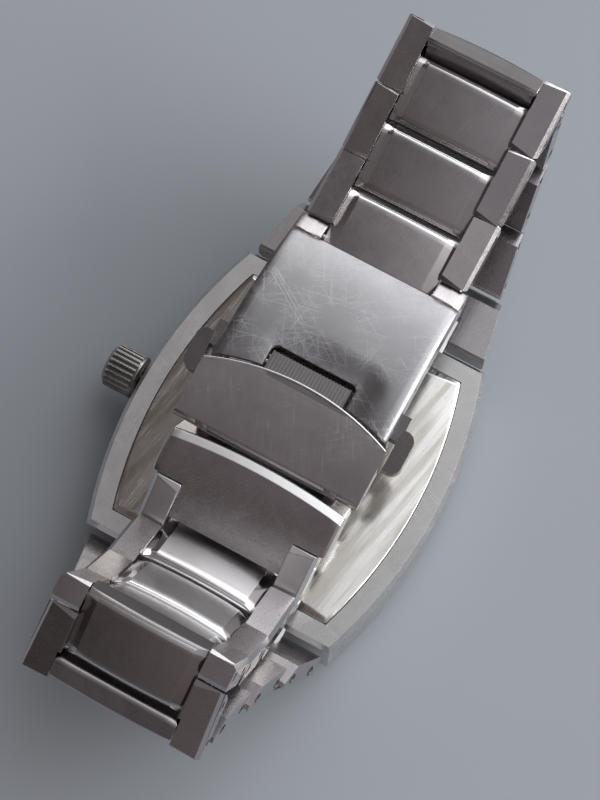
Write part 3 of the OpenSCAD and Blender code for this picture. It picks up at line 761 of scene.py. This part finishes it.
class WatchSteel(PropertyGroup):
    """Tones of the watch's metal and the size of its eased edges."""

    link_tone: FloatVectorProperty(
        name="Link steel", description="Tone of the bracelet links, the flap and the end piece",
        subtype="COLOR", size=3, min=0, max=1, default=(0.5, 0.472, 0.478),
    )
    cover_tone: FloatVectorProperty(
        name="Cover steel", description="Tone of the scratched clasp cover",
        subtype="COLOR", size=3, min=0, max=1, default=(0.365, 0.36, 0.37),
    )
    case_tone: FloatVectorProperty(
        name="Case steel", description="Tone of the case middle and the crown",
        subtype="COLOR", size=3, min=0, max=1, default=(0.62, 0.61, 0.6),
    )
    back_tone: FloatVectorProperty(
        name="Back steel", description="Tone of the polished case back and the clasp's blades",
        subtype="COLOR", size=3, min=0, max=1, default=(0.76, 0.74, 0.71),
    )
    # Lighter than the link steel: on eased edges partly the polish of wear, partly painted
    # highlight; also painted light on the ears and painted sheen on the links near the clasp
    worn_edge_and_highlight_tone: FloatVectorProperty(
        name="Worn edge and painted highlight", description="Tone of worn edges, partly painted highlight, and of the painted light on ears and link tops",
        subtype="COLOR", size=3, min=0, max=1, default=(0.78, 0.77, 0.77),
    )
    edge: FloatProperty(
        name="Eased edge", description="Width of the eased edges of the links",
        subtype="DISTANCE", unit="LENGTH", min=0.00002, max=0.0003, default=0.0002,
    )


class WatchStage(PropertyGroup):
    """Floor, surround and lamps."""

    floor_tone: FloatVectorProperty(
        name="Floor", description="Colour of the plain floor",
        subtype="COLOR", size=3, min=0, max=1, default=(0.39, 0.42, 0.456),
    )
    sky: FloatProperty(
        name="Surround", description="Strength of the plain surround",
        min=0, max=2, default=1.0,
    )
    key: FloatProperty(
        name="Key lamp", description="Power of the large lamp at the right",
        subtype="POWER", unit="POWER", min=0, max=20, default=2.2,
    )
    back: FloatProperty(
        name="Back lamp", description="Power of the long lamp beyond the watch",
        subtype="POWER", unit="POWER", min=0, max=20, default=0.5,
    )
    fill: FloatProperty(
        name="Fill lamp", description="Power of the lamp at the left",
        subtype="POWER", unit="POWER", min=0, max=20, default=0.06,
    )


class WATCH_OT_bracelet(Operator):
    """Finishes the links of the bracelet"""

    bl_idname = "watch.bracelet"
    bl_label = "Bracelet Links"

    def execute(self, context):
        look = context.scene.watch_steel
        # Dark copy of the link steel on the end faces of the links at the bends: painted shade
        shaded_tone = shade(look.link_tone, 0.3)
        top = steel("Brushed link steel", look.link_tone, rough=0.3, grain=0.7, marks=0.25)
        side = steel("Brushed side steel", look.link_tone, rough=0.27, grain=0.6, marks=0.2)
        facet = steel("Polished facet steel", look.link_tone, rough=0.14, grain=0.15, marks=0.12)
        # Worn-edge tone on eased edges and end slopes: partly the polish of wear, partly painted
        # highlight
        rim = steel("Worn link edge, painted highlight", look.worn_edge_and_highlight_tone, rough=0.2, grain=0.2, marks=0.2)
        # Worn-edge tone on the tops of the links near the clasp: painted sheen
        bright = steel("Link steel, painted sheen", look.worn_edge_and_highlight_tone, rough=0.3, grain=0.3, marks=0.2)
        shaded_end = steel("End steel, painted shade", shaded_tone, rough=0.4, grain=0.5, marks=0.1, along="X")
        for link in LINKS:
            up = link_up(link + "_centre")
            eased(
                link + "_centre", bright if link in NEAR_CLASP else top, rim, look.edge,
                bend=10.0, facet=facet, trim=domed(up),
                extra=(shaded_end, link_end(up)) if link in AT_BENDS else None,
            )
            eased(link + "_sides", side, rim, look.edge, facet=facet, least=0.00026)
        return {"FINISHED"}


class WATCH_OT_clasp(Operator):
    """Finishes the cover, flap, buttons and blades of the clasp"""

    bl_idname = "watch.clasp"
    bl_label = "Clasp"

    def execute(self, context):
        look = context.scene.watch_steel
        # Dark copy of the link steel for the buttons and the sunk tongue: painted shade
        shaded_tone = shade(look.link_tone, 0.62)
        cover = steel(
            "Scratched cover steel", look.cover_tone, rough=0.3, grain=0.35, marks=0.9,
            angles=(52, -34, 12, 80, -63, 33), cut=(0.008, 0.00007),
        )
        side = steel("Knuckle steel", look.link_tone, rough=0.27, grain=0.6, marks=0.2)
        flap = steel(
            "Flap steel", look.link_tone, rough=0.3, grain=0.4, marks=0.35, along="X",
            angles=(-58, -64, 40),
        )
        end = steel(
            "End piece steel", look.link_tone, rough=0.24, grain=0.4, marks=0.25, along="X",
        )
        # Worn-edge tone on eased edges, the end piece's front slope and the flap's bead: partly
        # the polish of wear, partly painted highlight
        rim = steel("Worn clasp edge, painted highlight", look.worn_edge_and_highlight_tone, rough=0.2, grain=0.2, marks=0.2, along="X")
        inner = steel("Blade steel", look.back_tone, rough=0.2, grain=0.2, marks=0.25)
        # Lighter, rougher worn-edge tone on the ears: painted light
        ear = steel("Ear steel, painted light", look.worn_edge_and_highlight_tone, rough=0.42, grain=0.3, marks=0.2)
        knob = steel("Button steel, painted shade", shaded_tone, rough=0.2, grain=0.2, marks=0.2)
        tongue = steel("Tongue steel, painted shade", shaded_tone, rough=0.34, grain=0.2, marks=0.1, along="X")
        eased(
            "clasp_cover", cover, rim, edge=0.00012, facet=side, facets=on_knuckle,
            form=form_cover, sharp=on_seam,
        )
        eased(
            "safety_flap", flap, rim, edge=0.00014, facet=tongue,
            facets=lambda face: on_tongue(face.calc_center_median()),
            seams=[(outer_seam(reach=0.011), 0.00025)],
            form=form_flap, sharp=on_tongue, trim=flap_bead,
        )
        eased(
            "end_piece", end, rim, edge=0.00018, facet=rim, facets=on_slope,
            seams=[(outer_seam(reach=0.0095), 0.0004)], form=bow_end_piece,
        )
        eased("end_ears", ear, rim, edge=0.00016)
        for node in ("left_button", "right_button"):
            eased(node, knob, rim, edge=0.00025)
        for node in ("blade_one", "blade_two"):
            eased(node, inner, rim, edge=0.00008)
        for node in ("button_spring", "clasp_pins"):
            dress(node, inner)
        return {"FINISHED"}


class WATCH_OT_case(Operator):
    """Finishes the case, its back, the crown and the crystal"""

    bl_idname = "watch.case"
    bl_label = "Case"

    def execute(self, context):
        look = context.scene.watch_steel
        # Dark copy of the case steel for the crown and the other turned parts: painted shade
        shaded_tone = shade(look.case_tone, 0.55)
        body = steel("Brushed body steel", look.case_tone, rough=0.28, grain=0.4, marks=0.35)
        back = steel(
            "Polished back steel", look.back_tone, rough=0.12, grain=0.15, marks=0.5,
            angles=(79, 74, 85), streak=0.75,
        )
        # Worn-edge tone on eased case edges: partly the polish of wear, partly painted highlight
        rim = steel("Worn case edge, painted highlight", look.worn_edge_and_highlight_tone, rough=0.2, grain=0.2, marks=0.2)
        turned = steel("Turned steel, painted shade", shaded_tone, rough=0.22, grain=0.2, marks=0.2, along="X")
        eased("case_middle", body, rim, edge=0.00018)
        eased("case_back", back, rim, edge=0.00015)
        eased("crown", turned, rim, edge=0.00008)
        seal = moulded("Black seal rubber", (0.03, 0.03, 0.03), rough=0.55)
        for node in ("back_gasket", "crown_gasket"):
            dress(node, seal)
        dress("crystal_gasket", moulded("White seat plastic", (0.78, 0.78, 0.75), rough=0.4))
        dress("crystal", clear_glass())
        for node in ("crown_tube", "crown_stem", "case_bars"):
            dress(node, turned)
        return {"FINISHED"}


class WATCH_OT_dial(Operator):
    """Finishes the dial, its markers and the hands"""

    bl_idname = "watch.dial"
    bl_label = "Dial and Hands"

    def execute(self, context):
        dress("dial", dial_paint(tone=(0.035, 0.037, 0.042), track=(0.75, 0.75, 0.73)))
        dress("flange_ring", moulded("Flange lacquer", (0.06, 0.06, 0.065), rough=0.25))
        bright = plain_metal("Polished marker metal", (0.84, 0.84, 0.83), rough=0.18)
        for node in ("hour_markers", "hour_hand", "minute_hand", "second_hand"):
            dress(node, bright)
        return {"FINISHED"}


class WATCH_OT_movement(Operator):
    """Finishes what the case holds"""

    bl_idname = "watch.movement"
    bl_label = "Movement"

    def execute(self, context):
        dress("movement_ring", moulded("White holder plastic", (0.82, 0.82, 0.79), rough=0.5))
        dress("main_plate", plain_metal("Gilt plate brass", (0.72, 0.58, 0.33), rough=0.32))
        dress("train_bridge", plain_metal("Bridge brass", (0.76, 0.68, 0.5), rough=0.3))
        dress("battery", plain_metal("Cell can steel", (0.76, 0.76, 0.76), rough=0.3))
        dress("drive_coil", wound_wire(tone=(0.75, 0.36, 0.16)))
        dress("setting_lever", plain_metal("Lever steel", (0.6, 0.6, 0.62), rough=0.3))
        return {"FINISHED"}


class WATCH_OT_stage(Operator):
    """Adds the floor, the lamps, the surround and the camera"""

    bl_idname = "watch.stage"
    bl_label = "Stage"

    def lamp(self, name, power, direction, size, tint):
        """Adds a large soft lamp that faces the watch."""
        data = bpy.data.lights.new(name, "AREA")
        data.shape = "RECTANGLE"
        data.size, data.size_y = size
        data.energy = power
        data.color = tint
        lamp = bpy.data.objects.new(name, data)
        towards = Vector(direction).normalized()
        lamp.location = LAMP_TARGET + towards * LAMP_DISTANCE
        lamp.rotation_mode = "QUATERNION"
        lamp.rotation_quaternion = towards.to_track_quat("Z", "Y")
        bpy.context.scene.collection.objects.link(lamp)

    def camera(self):
        """Adds the camera, turned about its own axis by the roll of the photograph."""
        flat = math.cos(CAMERA_EL)
        back = Vector(
            (math.sin(CAMERA_AZ) * flat, -math.cos(CAMERA_AZ) * flat, math.sin(CAMERA_EL))
        )
        side = Vector((0, 0, 1)).cross(back).normalized()
        up = back.cross(side)
        right = side * math.cos(CAMERA_ROLL) + up * math.sin(CAMERA_ROLL)
        up = up * math.cos(CAMERA_ROLL) - side * math.sin(CAMERA_ROLL)
        data = bpy.data.cameras.new("Camera")
        data.lens = CAMERA_LENS
        data.sensor_width = CAMERA_SENSOR
        data.clip_start, data.clip_end = CAMERA_NEAR, CAMERA_FAR
        camera = bpy.data.objects.new("Camera", data)
        turn = Matrix((right, up, back)).transposed()
        place = CAMERA_TARGET + back * CAMERA_DISTANCE
        camera.matrix_world = Matrix.Translation(place) @ turn.to_4x4()
        bpy.context.scene.collection.objects.link(camera)
        bpy.context.scene.camera = camera

    def floor(self, tone):
        """Adds the plain floor, with a faint clouding."""
        shape = bmesh.new()
        bmesh.ops.create_grid(shape, x_segments=1, y_segments=1, size=FLOOR_HALF)
        data = bpy.data.meshes.new("floor")
        shape.to_mesh(data)
        shape.free()
        r = Recipe("Plain floor")
        cloud = r.grain(0.05, detail=3.0)
        colour = r.mix(r.spread(cloud), shade(tone, 0.97), tone)
        data.materials.append(r.finish(Base_Color=colour, Roughness=0.85))
        floor = bpy.data.objects.new("floor", data)
        bpy.context.scene.collection.objects.link(floor)

    def surround(self, strength):
        """Adds a soft surround, bright beyond the watch and dim on the viewer's side."""
        world = bpy.data.worlds.new("Surround")
        bpy.context.scene.world = world
        world.use_nodes = True
        w = Wiring(world.node_tree)
        way = w.add("ShaderNodeTexCoord").outputs["Generated"]
        facing = w.add("ShaderNodeVectorMath")
        facing.operation = "DOT_PRODUCT"
        w.set(facing.inputs[0], way)
        w.set(facing.inputs[1], BRIGHT_SIDE)
        x, _, z = w.parts(way)
        ahead = w.ramp(w.span(facing.outputs["Value"], -1.0, 1.0), AHEAD_TONES)
        across = w.ramp(w.span(x, -1.0, 1.0), ACROSS_TONES)
        low = w.span(z, 0.0, LOW_TOP, LOW_SHARE, 1.0)
        background = world.node_tree.nodes["Background"]
        w.set(background.inputs["Color"], w.mix(1.0, ahead, across, blend="MULTIPLY"))
        w.set(background.inputs["Strength"], w.math("MULTIPLY", low, strength))

    def execute(self, context):
        stage = context.scene.watch_stage
        self.floor(stage.floor_tone)
        self.surround(stage.sky)
        self.lamp(
            "Key lamp", stage.key,
            direction=(0.82, 0.42, 0.42), size=(0.5, 0.3), tint=(1.0, 0.99, 0.97),
        )
        self.lamp(
            "Back lamp", stage.back,
            direction=(-0.1, 0.85, 0.52), size=(0.7, 0.16), tint=(1.0, 1.0, 1.0),
        )
        self.lamp(
            "Fill lamp", stage.fill,
            direction=(-0.9, -0.3, 0.7), size=(0.4, 0.4), tint=(0.95, 0.97, 1.0),
        )
        self.camera()
        context.scene.view_settings.view_transform = "Standard"
        return {"FINISHED"}


class WATCH_PT_looks(Panel):
    """Lists the steps that finish the watch"""

    bl_idname = "WATCH_PT_looks"
    bl_label = "Wristwatch"
    bl_space_type = "VIEW_3D"
    bl_region_type = "UI"
    bl_category = "Wristwatch"

    def draw(self, context):
        layout = self.layout
        for group in (context.scene.watch_steel, context.scene.watch_stage):
            column = layout.column()
            for name in group.__annotations__:
                column.prop(group, name)
        for step in STEPS:
            layout.operator(step.bl_idname)


STEPS = (
    WATCH_OT_bracelet,
    WATCH_OT_clasp,
    WATCH_OT_case,
    WATCH_OT_dial,
    WATCH_OT_movement,
    WATCH_OT_stage,
)
CLASSES = (WatchSteel, WatchStage, *STEPS, WATCH_PT_looks)


def register():
    for cls in CLASSES:
        bpy.utils.register_class(cls)
    bpy.types.Scene.watch_steel = PointerProperty(type=WatchSteel)
    bpy.types.Scene.watch_stage = PointerProperty(type=WatchStage)


def unregister():
    del bpy.types.Scene.watch_stage
    del bpy.types.Scene.watch_steel
    for cls in reversed(CLASSES):
        bpy.utils.unregister_class(cls)


def main():
    register()
    bpy.ops.watch.bracelet()
    bpy.ops.watch.clasp()
    bpy.ops.watch.case()
    bpy.ops.watch.dial()
    bpy.ops.watch.movement()
    bpy.ops.watch.stage()


if __name__ == "__main__":
    main()
